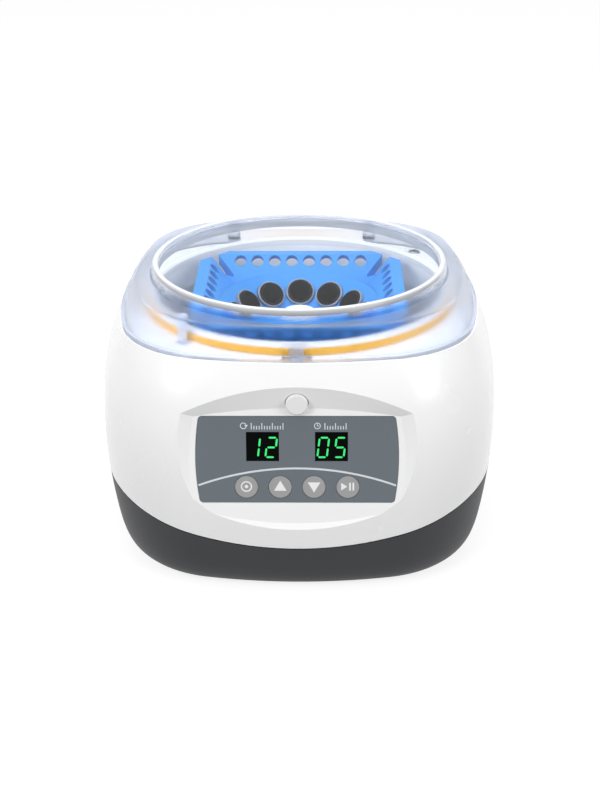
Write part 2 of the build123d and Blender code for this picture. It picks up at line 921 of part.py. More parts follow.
# Motor, its plate and what carries them
with BuildPart() as motor_dampers:
    with BuildSketch(Plane.XY.offset(damper_low)):
        with GridLocations(2 * post_reach, 2 * post_reach, 2, 2):
            Circle(damper_radius)
            Circle(damper_screw_radius + screw_clearance, mode=Mode.SUBTRACT)
    extrude(amount=damper_height)
    # Waist groove that lets each damper give
    with BuildSketch(Plane.XY.offset(damper_low + (damper_height - damper_waist) / 2)):
        with GridLocations(2 * post_reach, 2 * post_reach, 2, 2):
            Circle(damper_radius + 1)
            Circle(damper_radius - damper_waist_depth, mode=Mode.SUBTRACT)
    extrude(amount=damper_waist, mode=Mode.SUBTRACT)
save(motor_dampers.part, "motor_dampers")

with BuildPart() as motor_plate:
    with BuildSketch(Plane.XY.offset(motor_high)):
        RectangleRounded(2 * motor_plate_half, 2 * motor_plate_half, plate_corner)
        Circle(bearing_radius + plate_opening, mode=Mode.SUBTRACT)
        with GridLocations(2 * post_reach, 2 * post_reach, 2, 2):
            Circle(damper_screw_radius + screw_clearance, mode=Mode.SUBTRACT)
        with PolarLocations(motor_screw_circle, 4):
            Circle(motor_screw_radius + screw_clearance, mode=Mode.SUBTRACT)
    extrude(amount=motor_plate_thickness)
save(motor_plate.part, "motor_plate")

damper_screw = screw(
    damper_screw_head_radius, damper_screw_head_height,
    damper_screw_radius, damper_height + damper_screw_reach,
)
with BuildPart() as damper_screws:
    with Locations(Plane.XY.offset(plate_top)):
        with GridLocations(2 * post_reach, 2 * post_reach, 2, 2):
            add(damper_screw, rotation=(180, 0, 0))
save(damper_screws.part, "damper_screws")

motor_screw = screw(
    motor_screw_head_radius, motor_screw_head_height,
    motor_screw_radius, motor_plate_thickness + motor_screw_reach,
)
with BuildPart() as motor_screws:
    with Locations(Plane.XY.offset(plate_top)):
        with PolarLocations(motor_screw_circle, 4):
            add(motor_screw, rotation=(180, 0, 0))
save(motor_screws.part, "motor_screws")

motor_bore = motor_radius - motor_wall
bearing_seat = bearing_radius + bearing_wall
with BuildPart() as motor_housing:
    with BuildSketch(Plane.XZ):
        with BuildLine():
            Polyline(
                (bearing_radius, motor_low + motor_wall),
                (motor_eye, motor_low + motor_wall),
                (motor_eye, motor_low),
                (motor_radius - motor_round, motor_low),
                (motor_radius, motor_low + motor_round),
                (motor_radius, motor_high),
                (bearing_radius, motor_high),
                (bearing_radius, motor_high - bearing_width),
                (motor_bore, motor_high - bearing_width),
                (motor_bore, motor_low + motor_wall),
                (bearing_seat, motor_low + motor_wall),
                (bearing_seat, motor_low + motor_wall + bearing_width),
                (bearing_radius, motor_low + motor_wall + bearing_width),
                (bearing_radius, motor_low + motor_wall),
            )
        make_face()
    revolve(axis=Axis.Z)
    with BuildSketch(Plane.XY.offset(motor_high)):
        with PolarLocations(motor_screw_circle, 4):
            Circle(motor_screw_radius)
    extrude(amount=-(motor_screw_reach + screw_recess), mode=Mode.SUBTRACT)
save(motor_housing.part, "motor_housing")

with BuildPart() as motor_magnets:
    with BuildSketch(Plane.XY.offset(armature_low - magnet_overhang)):
        Circle(motor_bore)
        Circle(motor_bore - magnet_thickness, mode=Mode.SUBTRACT)
        with PolarLocations(motor_bore, 4):
            Rectangle(3 * magnet_thickness, magnet_gap, mode=Mode.SUBTRACT)
    extrude(amount=armature_high - armature_low + 2 * magnet_overhang)
save(motor_magnets.part, "motor_magnets")

with BuildPart() as motor_bearings:
    for low in (motor_low + motor_wall, motor_high - bearing_width):
        with BuildSketch(Plane.XY.offset(low)):
            Circle(bearing_radius)
            Circle(shaft_radius + bearing_clearance, mode=Mode.SUBTRACT)
        extrude(amount=bearing_width)
save(motor_bearings.part, "motor_bearings")

with BuildPart() as drive_shaft:
    with BuildSketch(Plane.XY.offset(shaft_bottom)):
        Circle(shaft_radius)
    extrude(amount=shaft_top - shaft_bottom)
    chamfer(drive_shaft.edges().filter_by(GeomType.CIRCLE), pin_chamfer)
save(drive_shaft.part, "drive_shaft")

slot_circle = armature_radius + winding_slot_opening - winding_slot_length / 2
with BuildPart() as motor_armature:
    with BuildSketch(Plane.XY.offset(armature_low)):
        Circle(armature_radius)
        Circle(shaft_radius, mode=Mode.SUBTRACT)
        with PolarLocations(slot_circle, winding_slots):
            SlotOverall(winding_slot_length, winding_slot_width, mode=Mode.SUBTRACT)
    extrude(amount=armature_high - armature_low)
save(motor_armature.part, "motor_armature")

with BuildPart() as rotor_adapter:
    with BuildSketch(Plane.XZ):
        with BuildLine():
            Polyline(
                (shaft_radius, adapter_low),
                (adapter_foot_radius - adapter_bevel, adapter_low),
                (adapter_foot_radius, adapter_low + adapter_bevel),
                (adapter_foot_radius, rotor_hub_low - adapter_flange_height - adapter_bevel),
                (adapter_flange_radius, rotor_hub_low - adapter_flange_height),
                (adapter_flange_radius, rotor_hub_low),
                (adapter_radius, rotor_hub_low),
                (adapter_radius, rotor_hub_high - adapter_bevel),
                (shaft_radius, rotor_hub_high - adapter_bevel),
                (shaft_radius, adapter_low),
            )
        make_face()
    revolve(axis=Axis.Z)
save(rotor_adapter.part, "rotor_adapter")


# Combination rotor: four sloping strip plates round a ring of twelve tube wells
def square_funnel(half_at_top, depth):
    """Square block under the rotor's rim whose four sides slope inwards at 45 degrees."""
    with BuildPart() as funnel:
        with BuildSketch(Plane.XY.offset(rotor_rim_height)):
            Rectangle(2 * half_at_top, 2 * half_at_top)
        with BuildSketch(Plane.XY.offset(rotor_rim_height - depth)):
            Rectangle(2 * (half_at_top - depth), 2 * (half_at_top - depth))
        loft()
    return funnel.part


def funnel_plane(angle, reach, across=0.0):
    """Plane on the sloping face, out along the angle, facing inwards and up."""
    way = Vector(cos(radians(angle)), sin(radians(angle)), 0)
    side = Vector(-sin(radians(angle)), cos(radians(angle)), 0)
    spot = way * reach + side * across + Vector(0, 0, rotor_slope_height + reach)
    return Plane(origin=spot, x_dir=side, z_dir=Vector(0, 0, 1) - way)


tube_planes = [funnel_plane(90 + i * 360 / tube_count, tube_reach) for i in range(tube_count)]
strip_planes = [
    funnel_plane(quarter * 90, strip_reach, (i - (strip_count - 1) / 2) * strip_pitch)
    for quarter in range(4)
    for i in range(strip_count)
]
funnel_depth = plate_half_outer - plate_inner + plate_tail
plate_half_inner = rotor_rim_height - rotor_slope_height
corner_reach = plate_corner_cut * sqrt(0.5)

with BuildPart() as rotor:
    add(square_funnel(plate_half_outer, funnel_depth))
    add(square_funnel(plate_half_inner, funnel_depth), mode=Mode.SUBTRACT)
    with BuildSketch(Plane.XY.offset(rotor_hub_low)):
        Circle(plate_inner)
    extrude(amount=slab_side, mode=Mode.SUBTRACT)
    with BuildSketch(Plane.XZ):
        with BuildLine():
            Polyline(
                (adapter_radius, rotor_hub_low),
                (rotor_hub_radius, rotor_hub_low),
                (rotor_hub_radius, ring_low_inner),
                (ring_inner, ring_low_inner),
                (ring_outer, ring_low_outer),
                (ring_outer, rotor_slope_height + ring_outer),
                (ring_inner, rotor_slope_height + ring_inner),
                (rotor_hub_radius, rotor_slope_height + ring_inner - 1),
                (rotor_hub_radius, rotor_hub_high),
                (adapter_radius, rotor_hub_high),
                (adapter_radius, rotor_hub_low),
            )
        make_face()
    revolve(axis=Axis.Z)
    # Corners cut back and notched between neighbouring plates
    with BuildSketch(Plane.XY.offset(rotor_hub_high)):
        with PolarLocations(corner_reach + corner_block / 2, 4, start_angle=45):
            Rectangle(corner_block, 2 * corner_block)
    extrude(amount=2 * clear_cut, mode=Mode.SUBTRACT)
    with BuildSketch(Plane.XY.offset(notch_floor)):
        with PolarLocations(corner_reach, 4, start_angle=45):
            Rectangle(notch_length, notch_width)
    extrude(amount=2 * clear_cut, mode=Mode.SUBTRACT)
    # Tube wells with a flat seat for each collar, then the strip holes
    with Locations(*[Location(plane) for plane in tube_planes]):
        Cylinder(sleeve_radius + sleeve_fit, well_cut, mode=Mode.SUBTRACT)
        Cylinder(
            collar_radius + collar_clearance, collar_cut,
            align=(Align.CENTER, Align.CENTER, Align.MIN), mode=Mode.SUBTRACT,
        )
    with Locations(*[Location(plane) for plane in strip_planes]):
        Cylinder(strip_hole_radius, strip_cut, mode=Mode.SUBTRACT)
save(rotor.part, "rotor")

with BuildPart() as sleeve:
    with BuildSketch(Plane.XZ):
        with BuildLine():
            Polyline(
                (0, -sleeve_length),
                (sleeve_tip_radius, -sleeve_length),
                (sleeve_radius, -sleeve_length + sleeve_taper),
                (sleeve_radius, collar_thickness + sleeve_rim),
                (tube_bore_radius, collar_thickness + sleeve_rim),
                (tube_bore_radius, -sleeve_length + sleeve_taper + sleeve_floor),
                (sleeve_tip_radius, -sleeve_length + sleeve_floor),
                (0, -sleeve_length + sleeve_floor),
                (0, -sleeve_length),
            )
        make_face()
    revolve(axis=Axis.Z)

with BuildPart() as tube_sleeves:
    with Locations(*[Location(plane) for plane in tube_planes]):
        add(sleeve.part)
save(tube_sleeves.part, "tube_sleeves")

with BuildPart() as sleeve_collars:
    for plane in tube_planes:
        with BuildSketch(plane):
            Circle(collar_radius)
            Circle(sleeve_radius + sleeve_fit, mode=Mode.SUBTRACT)
    extrude(amount=collar_thickness)
save(sleeve_collars.part, "sleeve_collars")

with BuildPart() as rotor_nut:
    with BuildSketch(Plane.XZ):
        with BuildLine():
            Polyline(
                (shaft_radius, rotor_hub_high),
                (nut_radius, rotor_hub_high),
                (nut_radius, nut_top - nut_bevel),
                (nut_radius - nut_bevel, nut_top),
                (0, nut_top),
                (0, shaft_top),
                (shaft_radius, shaft_top),
                (shaft_radius, rotor_hub_high),
            )
        make_face()
    revolve(axis=Axis.Z)
    with BuildSketch(Plane.XY.offset(rotor_hub_high + grip_rise)):
        with PolarLocations(nut_radius + grip_offset, grip_count):
            Circle(grip_radius)
    extrude(amount=clear_cut, mode=Mode.SUBTRACT)
save(rotor_nut.part, "rotor_nut")


# Clear lid: flange, leaning wall, shoulder and a round ridge about the window
def lid_form(inset, top_trim):
    """Lid block below the shoulder, moved in by the inset and lowered by the trim."""
    faces = [
        squircle_face(
            lid_foot, lid_base_half_width - inset, lid_base_half_depth - inset, 0
        ),
        squircle_face(
            lid_waist_height - top_trim / 2, lid_waist_half_width - inset,
            lid_waist_half_depth - inset, shoulder_shift / 3,
        ),
        squircle_face(
            shoulder_height - top_trim, shoulder_half_width - inset,
            shoulder_half_depth - inset, shoulder_shift,
        ),
    ]
    with BuildPart() as form:
        loft(faces)
    return form.part


lid_base_half_width = flange_half_width - flange_width
lid_base_half_depth = flange_half_depth - flange_width
lid_block = lid_form(0, 0)

with BuildPart() as lid:
    add(lid_block)
    fillet(lid.edges().group_by(Axis.Z)[-1], lid_round)
    with BuildSketch(Plane.XY.offset(lid_foot)):
        add(squircle_face(0, flange_half_width, flange_half_depth, 0))
    extrude(amount=flange_lip)
    # Ridge round the window
    with BuildSketch(Plane.XZ):
        with BuildLine():
            Polyline(
                (0, shoulder_under),
                (ridge_foot_radius + ridge_root, shoulder_under),
                (ridge_foot_radius, shoulder_height),
                (ridge_radius, ridge_height - ridge_crown),
            )
            ThreePointArc(
                (ridge_radius, ridge_height - ridge_crown),
                (ridge_radius - ridge_width / 2, ridge_height),
                (ridge_radius - ridge_width, ridge_height - window_drop),
            )
            Polyline(
                (ridge_radius - ridge_width, ridge_height - window_drop),
                (0, ridge_height - window_drop),
                (0, shoulder_under),
            )
        make_face()
    revolve(axis=Axis.Z)
    add(lid_form(lid_wall, lid_wall), mode=Mode.SUBTRACT)
    with BuildSketch(Plane.XY.offset(lid_foot)):
        Circle(ridge_radius - lid_wall)
    extrude(amount=ridge_height - window_drop - lid_wall - lid_foot, mode=Mode.SUBTRACT)
    # Notch in the back wall for the hinge tower
    with BuildSketch(Plane.XZ.offset(-(tower_front - 3 * lid_wall))):
        with Locations((0, (lid_foot - 1 + shoulder_under) / 2)):
            Rectangle(2 * (tower_half_width + notch_gap), shoulder_under - lid_foot + 1)
    extrude(amount=-clear_cut, mode=Mode.SUBTRACT)
    # Pad that holds the hook behind the front wall
    with BuildSketch(Plane.XY.offset(lid_foot)):
        with Locations((0, hook_y)):
            Rectangle(
                2 * (hook_half_width + hook_pad_width), hook_thickness + 2 * hook_pad_depth,
            )
    extrude(amount=hook_seat - lid_foot + hook_pad_roof)
    with BuildSketch(Plane.XY.offset(lid_foot)):
        with Locations((0, hook_y)):
            Rectangle(2 * hook_half_width, hook_thickness)
    extrude(amount=hook_seat - lid_foot, mode=Mode.SUBTRACT)
    # Hinge lugs on each side of the tower
    for side in (-1, 1):
        with BuildSketch(Plane.YZ.offset(side * (lug_in + lug_out) / 2)):
            Polygon(
                (lug_root, lid_foot + lug_rise),
                (hinge_y, lid_foot + lug_rise),
                (hinge_y, hinge_z + lug_radius),
                (lug_root, shoulder_under + lug_rise),
                align=None,
            )
            with Locations((hinge_y, hinge_z)):
                Circle(lug_radius)
        extrude(amount=lug_width / 2, both=True)
        with BuildSketch(Plane.YZ.offset(side * (lug_in + lug_out) / 2)):
            with Locations((hinge_y, hinge_z)):
                Circle(pin_radius + pin_clearance)
        extrude(amount=lug_width, both=True, mode=Mode.SUBTRACT)
save(lid.part, "lid")

with BuildPart() as hinge_pin:
    with BuildSketch(Plane.YZ):
        with Locations((hinge_y, hinge_z)):
            Circle(pin_radius)
    extrude(amount=pin_half_length, both=True)
    chamfer(hinge_pin.edges().filter_by(GeomType.CIRCLE), pin_chamfer)
save(hinge_pin.part, "hinge_pin")

with BuildPart() as lid_hook:
    with BuildSketch(Plane.YZ):
        with BuildLine():
            Polyline(
                (stem_front, hook_seat),
                (stem_front, hook_tip),
                (stem_back, hook_tip),
                (barb_back, barb_top - barb_land),
                (barb_back, barb_top),
                (stem_back, barb_top),
                (stem_back, hook_seat),
                (stem_front, hook_seat),
            )
        make_face()
    extrude(amount=hook_half_width, both=True)
save(lid_hook.part, "lid_hook")

with BuildPart() as interlock_pin:
    with BuildSketch(Plane.XZ):
        with BuildLine():
            Polyline(
                (0, interlock_tip),
                (interlock_radius - interlock_flare, interlock_tip),
                (interlock_radius, interlock_tip + interlock_flare),
                (interlock_radius, shoulder_under - interlock_head),
                (interlock_radius + interlock_flare, shoulder_under - interlock_head + interlock_flare),
                (interlock_radius + interlock_flare, shoulder_under),
                (0, shoulder_under),
                (0, interlock_tip),
            )
        make_face()
    revolve(axis=Axis.Z)
interlock_pin.part = Pos(interlock_x, interlock_y, 0) * interlock_pin.part
save(interlock_pin.part, "interlock_pin")

deck_screw_piece = screw(
    deck_screw_head_radius, deck_screw_head_height, deck_screw_radius, deck_screw_length,
)
with BuildPart() as deck_screw:
    with Locations((deck_screw_x, deck_screw_y, deck_height - deck_recess)):
        add(deck_screw_piece, rotation=(180, 0, 0))
save(deck_screw.part, "deck_screw")


# Lid latch: slider behind the hook, worked by the release button
with BuildPart() as latch_slider:
    with BuildSketch(Plane.YZ):
        Polygon(
            (web_front, button_height - web_low),
            (web_back, button_height - web_low),
            (web_back, ledge_low + latch_plate),
            (ledge_front + ledge_chamfer_width, ledge_low + latch_plate),
            (ledge_front, ledge_low + latch_plate - ledge_chamfer_height),
            (ledge_front, ledge_low),
            (web_front, ledge_low),
            align=None,
        )
    extrude(amount=slider_half_width, both=True)
    with BuildSketch(Plane.XZ.offset(-web_front)):
        with Locations((0, button_height)):
            Circle(stem_radius)
    extrude(amount=-2 * web_thickness, mode=Mode.SUBTRACT)
save(latch_slider.part, "latch_slider")

with BuildPart() as release_button:
    with BuildSketch(Plane.XY):
        with BuildLine():
            Polyline(
                (0, 0),
                (0, button_front - web_back),
                (stem_radius, button_front - web_back),
                (stem_radius, -button_roof),
                (spring_radius + spring_clearance_side, -button_roof),
                (spring_radius + spring_clearance_side, -skirt_length),
                (button_radius, -skirt_length),
                (button_radius, -button_round),
            )
            RadiusArc((button_radius, -button_round), (button_radius - button_round, 0), -button_round)
            Line((button_radius - button_round, 0), (0, 0))
        make_face()
    revolve(axis=Axis.Y)
release_button.part = (
    Plane(origin=(0, button_front, button_height), x_dir=(1, 0, 0), z_dir=(0, 0, 1))
    .location
    * Rot(0, 0, 180)
    * release_button.part
)
save(release_button.part, "release_button")

with BuildPart() as latch_bracket:
    with BuildSketch(Plane.XZ.offset(-bracket_front)):
        with Locations((0, (bracket_low + bracket_top) / 2)):
            RectangleRounded(
                2 * (bracket_screw_x + bracket_margin), bracket_top - bracket_low, bracket_corner,
            )
        with Locations((0, button_height)):
            Circle(stem_radius + stem_socket_clearance, mode=Mode.SUBTRACT)
        with Locations(*bracket_screw_places):
            Circle(board_screw_radius + bracket_hole_clearance, mode=Mode.SUBTRACT)
    extrude(amount=-(bracket_back - bracket_front))
save(latch_bracket.part, "latch_bracket")

spring_start = button_front + button_roof + spring_clearance
spring_length = bracket_front - spring_start - spring_clearance
coil_radius = spring_radius - spring_wire / 2
with BuildPart() as latch_spring:
    with BuildLine():
        Helix(
            pitch=(spring_length - spring_wire) / spring_turns,
            height=spring_length - spring_wire,
            radius=coil_radius,
        )
    with BuildSketch(Plane(origin=(coil_radius, 0, 0), z_dir=(0, 1, 0))):
        RegularPolygon(spring_wire / 2, 6)
    sweep(is_frenet=True)
latch_spring.part = (
    Plane(origin=(0, spring_start + spring_wire / 2, button_height), z_dir=(0, 1, 0)).location
    * latch_spring.part
)
save(latch_spring.part, "latch_spring")

with BuildPart() as lid_switch:
    with BuildSketch(Plane.XY.offset(switch_top)):
        with Locations((interlock_x, interlock_y)):
            Rectangle(lid_switch_width, lid_switch_length)
    extrude(amount=-lid_switch_height)
    with BuildSketch(Plane.XY.offset(switch_top)):
        with Locations((interlock_x, interlock_y)):
            Circle(lid_switch_tip_radius)
    extrude(amount=interlock_tip - lid_switch_gap - switch_top)
save(lid_switch.part, "lid_switch")


# Key panel with its two windows and four keys
with BuildPart() as key_panel:
    extrude(panel_outline(0), amount=-panel_thickness)
    with BuildSketch(panel_plane):
        with Locations(*window_places):
            Rectangle(window_width, window_height)
        with Locations(*key_places):
            Circle(key_radius + key_clearance)
    extrude(amount=-2 * panel_thickness, mode=Mode.SUBTRACT)
save(key_panel.part, "key_panel")

for place, name in zip(window_places, ("speed_display", "time_display")):
    with BuildPart() as display:
        with BuildSketch(panel_plane.offset(-display_sink)):
            with Locations(place):
                Rectangle(window_width - 2 * window_clearance, window_height - 2 * window_clearance)
        extrude(amount=display_sink - board_depth)
    save(display.part, name)

switch_face = board_face + switch_height
for place, name in zip(key_places, ("set_key", "up_key", "down_key", "start_stop_key")):
    with BuildPart() as key:
        with BuildSketch(panel_plane.offset(key_stand)):
            with Locations(place):
                Circle(key_radius)
        extrude(amount=-key_thickness)
        chamfer(key.edges().filter_by(GeomType.CIRCLE).sort_by(Axis.Y)[0], key_bevel)
        with BuildSketch(panel_plane.offset(key_stand - key_thickness)):
            with Locations(place):
                Circle(key_stem_radius)
        extrude(amount=-(key_stand - key_thickness - switch_face - key_travel - key_stem_gap))
    save(key.part, name)

with BuildPart() as display_board:
    with BuildSketch(panel_plane.offset(board_face)):
        RectangleRounded(display_board_width, display_board_height, board_corner)
        with Locations(*display_posts):
            Circle(board_screw_radius + board_hole_clearance, mode=Mode.SUBTRACT)
    extrude(amount=-board_thickness)
save(display_board.part, "display_board")

with BuildPart() as key_switches:
    with BuildSketch(panel_plane.offset(board_face)):
        with Locations(*key_places):
            Rectangle(switch_side, switch_side)
    extrude(amount=switch_height - switch_tip)
    with BuildSketch(panel_plane.offset(board_face)):
        with Locations(*key_places):
            Circle(key_stem_radius)
    extrude(amount=switch_height)
save(key_switches.part, "key_switches")

board_screw = screw(
    board_screw_head_radius, board_screw_head_height, board_screw_radius, board_screw_length,
)
with BuildPart() as display_screws:
    with Locations(Location(panel_plane.offset(board_face - board_thickness))):
        with Locations(*display_posts):
            add(board_screw)
save(display_screws.part, "display_screws")

with BuildPart() as bracket_screws:
    with Locations(Location(Plane.XZ.offset(-bracket_back))):
        with Locations(*bracket_screw_places):
            add(board_screw)
save(bracket_screws.part, "bracket_screws")


# Boards on the base
def main_board(centre_y):
    with BuildPart() as board:
        with BuildSketch(Plane.XY.offset(main_board_height)):
            with Locations((0, centre_y)):
                RectangleRounded(main_board_width, main_board_depth, board_corner)
            with Locations(*[spot for spot in board_pillars if spot[1] * centre_y > 0]):
                Circle(board_screw_radius + board_hole_clearance, mode=Mode.SUBTRACT)
        extrude(amount=board_thickness)
    return board.part


board_top = main_board_height + board_thickness
save(main_board(-main_board_y), "control_board")
save(main_board(main_board_y), "power_board")

with BuildPart() as control_chips:
    with BuildSketch(Plane.XY.offset(board_top)):
        for chip_x, chip_y, chip_width, chip_depth in chips:
            with Locations((chip_x, chip_y)):
                Rectangle(chip_width, chip_depth)
    extrude(amount=chip_height)
save(control_chips.part, "control_chips")

# Core plates above and below the winding
transformer_sides = [
    (transformer_core, transformer_depth),
    (transformer_winding, transformer_winding_depth),
    (transformer_core, transformer_depth),
]
with BuildPart() as power_transformer:
    layer_low = board_top
    for (layer_width, layer_depth), layer_height in zip(transformer_sides, transformer_layers):
        with BuildSketch(Plane.XY.offset(layer_low)):
            with Locations((transformer_x, main_board_y)):
                Rectangle(layer_width, layer_depth)
        extrude(amount=layer_height)
        layer_low += layer_height
save(power_transformer.part, "power_transformer")

with BuildPart() as capacitors:
    with BuildSketch(Plane.XY.offset(board_top)):
        with Locations(*capacitor_places):
            Circle(capacitor_radius)
    extrude(amount=capacitor_height)
save(capacitors.part, "capacitors")


# Mains inlet and rocker switch in the back recess
with BuildPart() as power_inlet:
    with BuildSketch(Plane.XZ.offset(-(back_recess_y + inlet_flange))):
        with Locations((inlet_x, inlet_z)):
            RectangleRounded(
                inlet_width + 2 * inlet_ear_x, inlet_height + 2 * inlet_ear_z, inlet_ear_x,
            )
    extrude(amount=inlet_flange)
    with BuildSketch(Plane.XZ.offset(-back_recess_y)):
        with Locations((inlet_x, inlet_z)):
            Rectangle(inlet_width, inlet_height)
    extrude(amount=inlet_depth)
    with BuildSketch(Plane.XZ.offset(-(back_recess_y + inlet_flange))) as socket:
        with Locations((inlet_x, inlet_z)):
            Rectangle(inlet_width - 2 * inlet_wall, inlet_height - 2 * inlet_wall)
        chamfer(socket.vertices().group_by(Axis.Z)[-1], inlet_key_corner)
    extrude(amount=inlet_socket_depth, mode=Mode.SUBTRACT)
save(power_inlet.part, "power_inlet")

with BuildPart() as inlet_pins:
    with BuildSketch(Plane.XZ.offset(-(back_recess_y + inlet_flange - inlet_socket_depth))):
        with Locations(
            (inlet_x, inlet_z + inlet_pin_lift),
            (inlet_x - inlet_pin_x, inlet_z + inlet_pin_lift - inlet_pin_drop),
            (inlet_x + inlet_pin_x, inlet_z + inlet_pin_lift - inlet_pin_drop),
        ):
            Rectangle(inlet_pin_width, inlet_pin_height)
    extrude(amount=-(inlet_socket_depth - inlet_pin_short))
save(inlet_pins.part, "inlet_pins")

rocker_front = back_recess_y + inlet_flange
with BuildPart() as switch_frame:
    with BuildSketch(Plane.XZ.offset(-rocker_front)):
        with Locations((rocker_x, inlet_z)):
            RectangleRounded(
                switch_width + 2 * switch_wall, switch_height_outer + 2 * switch_wall, switch_wall,
            )
    extrude(amount=inlet_flange)
    with BuildSketch(Plane.XZ.offset(-back_recess_y)):
        with Locations((rocker_x, inlet_z)):
            Rectangle(switch_width, switch_height_outer)
    extrude(amount=switch_depth)
    with BuildSketch(Plane.XZ.offset(-rocker_front)):
        with Locations((rocker_x, inlet_z)):
            Rectangle(switch_width - 2 * switch_wall, switch_height_outer - 2 * switch_wall)
    extrude(amount=switch_well, mode=Mode.SUBTRACT)
    with BuildSketch(Plane.YZ.offset(rocker_x)):
        with Locations((rocker_front - rocker_sink, inlet_z)):
            Circle(rocker_pin_radius + pin_clearance)
    extrude(amount=switch_width, both=True, mode=Mode.SUBTRACT)
save(switch_frame.part, "switch_frame")

rocker_half = switch_height_outer / 2 - switch_wall - rocker_end_gap
with BuildPart() as rocker:
    with BuildSketch(Plane.YZ):
        Polygon(
            (-rocker_root_depth, -rocker_root_half),
            (-rocker_root_depth, rocker_root_half),
            (0, rocker_half),
            (rocker_sink + rocker_lift, rocker_half),
            (rocker_sink + rocker_dish, 0),
            (rocker_sink + rocker_lift, -rocker_half),
            (0, -rocker_half),
            align=None,
        )
    extrude(amount=switch_width / 2 - switch_wall - rocker_side_gap, both=True)
    with BuildSketch(Plane.YZ):
        Circle(rocker_pin_radius)
    extrude(amount=switch_width / 2 - rocker_pin_gap, both=True)
rocker.part = Pos(rocker_x, rocker_front - rocker_sink, inlet_z) * Rot(-rocker_tilt, 0, 0) * rocker.part
save(rocker.part, "power_rocker")
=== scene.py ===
import json
from math import atan2, cos, degrees, radians, sin
import bmesh
import bpy
from mathutils import Matrix, Vector


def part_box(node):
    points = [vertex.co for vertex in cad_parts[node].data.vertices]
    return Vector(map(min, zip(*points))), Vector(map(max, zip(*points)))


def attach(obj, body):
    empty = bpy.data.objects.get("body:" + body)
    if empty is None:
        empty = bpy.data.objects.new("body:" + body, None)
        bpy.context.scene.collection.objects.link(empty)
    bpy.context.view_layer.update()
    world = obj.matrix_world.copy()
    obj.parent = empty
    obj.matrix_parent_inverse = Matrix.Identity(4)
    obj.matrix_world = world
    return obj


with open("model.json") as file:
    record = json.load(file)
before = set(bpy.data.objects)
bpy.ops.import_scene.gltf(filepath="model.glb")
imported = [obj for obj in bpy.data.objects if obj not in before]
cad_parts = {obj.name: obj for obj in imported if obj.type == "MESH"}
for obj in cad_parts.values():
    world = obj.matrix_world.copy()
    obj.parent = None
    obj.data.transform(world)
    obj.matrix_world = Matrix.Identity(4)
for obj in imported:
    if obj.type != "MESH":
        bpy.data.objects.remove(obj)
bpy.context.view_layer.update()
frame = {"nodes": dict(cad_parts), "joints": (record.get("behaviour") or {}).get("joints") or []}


# White upper casing.
# One glossy moulding of impact-resistant plastic, with the faint waviness that a polished
# mould leaves and hardly any grain. It carries the panel, the deck and the hinge tower.
millimetre = 0.001


class Signal:
    """The output of a shader node, as a value for Python arithmetic."""

    def __init__(self, nodes, socket):
        self.nodes = nodes
        self.socket = socket

    def __add__(self, other):
        return self.nodes.maths("ADD", self, other)

    def __radd__(self, other):
        return self.nodes.maths("ADD", other, self)

    def __sub__(self, other):
        return self.nodes.maths("SUBTRACT", self, other)

    def __rsub__(self, other):
        return self.nodes.maths("SUBTRACT", other, self)

    def __mul__(self, other):
        return self.nodes.maths("MULTIPLY", self, other)

    def __rmul__(self, other):
        return self.nodes.maths("MULTIPLY", other, self)

    def __gt__(self, other):
        return self.nodes.maths("GREATER_THAN", self, other)

    def __lt__(self, other):
        return self.nodes.maths("LESS_THAN", self, other)


class Nodes:
    """A node tree in which a node is made, set and linked in one step."""

    def __init__(self, tree):
        self.tree = tree

    def node(self, kind, settings=None, inputs=None, output=0):
        made = self.tree.nodes.new(kind)
        for name, value in (settings or {}).items():
            setattr(made, name, value)
        for name, value in (inputs or {}).items():
            self.feed(made.inputs[name], value)
        return Signal(self, made.outputs[output])

    def feed(self, socket, value):
        if isinstance(value, Signal):
            self.tree.links.new(value.socket, socket)
        else:
            socket.default_value = value

    def maths(self, operation, *values):
        return self.node("ShaderNodeMath", {"operation": operation}, dict(enumerate(values)))


class Finish(Nodes):
    """A procedural material with one main shader, laid out in object coordinates."""

    def __init__(self, name):
        self.material = bpy.data.materials.new(name)
        self.material.use_nodes = True
        super().__init__(self.material.node_tree)
        self.shader = self.tree.nodes["Principled BSDF"]
        self.place = self.node("ShaderNodeTexCoord", output="Object")

    def spot(self):
        """The X, Y and Z of the surface, in metres from the object's origin."""
        split = self.node("ShaderNodeSeparateXYZ", inputs={"Vector": self.place})
        return [Signal(self, output) for output in split.socket.node.outputs]

    def mix(self, share, first, second):
        """A colour between two others."""
        settings = {"data_type": "RGBA"}
        return self.node("ShaderNodeMix", settings, {0: share, 6: first, 7: second}, output=2)

    def noise(self, scale, detail, place=None):
        inputs = {"Vector": place or self.place, "Scale": scale, "Detail": detail}
        return self.node("ShaderNodeTexNoise", inputs=inputs)

    def bump(self, height, depth):
        inputs = {"Height": height, "Distance": depth, "Strength": 1.0}
        return self.node("ShaderNodeBump", inputs=inputs)

    def set(self, sockets):
        """Feeds the main shader's sockets with values or signals."""
        for name, value in sockets.items():
            self.feed(self.shader.inputs[name], value)
        return self

    def layer(self, shader, share):
        """Shows a second shader over the main one, by a share from 0 to 1."""
        main = Signal(self, self.shader.outputs[0])
        both = self.node("ShaderNodeMixShader", inputs={0: share, 1: main, 2: shader})
        self.feed(self.tree.nodes["Material Output"].inputs["Surface"], both)


def paint(colour, level=1.0):
    """A colour for a socket, at a share of its brightness."""
    return (*[channel * level for channel in colour], 1.0)


